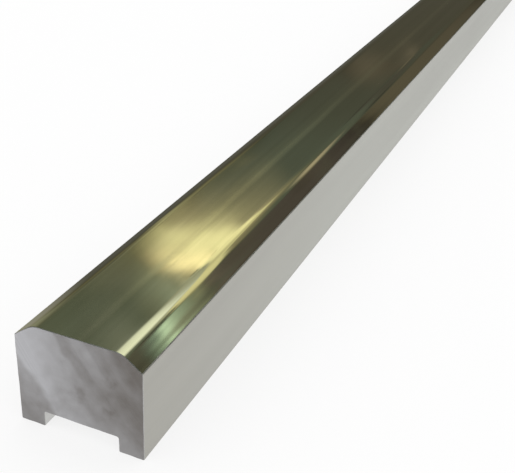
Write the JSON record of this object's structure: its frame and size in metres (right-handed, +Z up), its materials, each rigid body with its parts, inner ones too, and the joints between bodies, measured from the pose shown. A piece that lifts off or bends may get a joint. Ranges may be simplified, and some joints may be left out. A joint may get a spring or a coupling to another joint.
{
  "type": "aluminium extrusion profile",
  "caption": "Solid aluminium extrusion bar with a flat top, sloped shoulders with soft crests, straight sides, and feet either side of a shallow channel along its base.",
  "frame": {"origin": "mid-length of the bar, midway between the feet, on the surface that it lies on", "axes": "+Y along the bar's length, +X across its width, +Z up through the flat top"},
  "size_m": [0.025, 0.5, 0.021],
  "materials": {
    "aluminium_bar": "bare extruded aluminium: polished top and shoulders, satin sides, sawn ends"
  },
  "bodies": {
    "root": {"profile_bar": "aluminium_bar"}
  },
  "joints": []
}
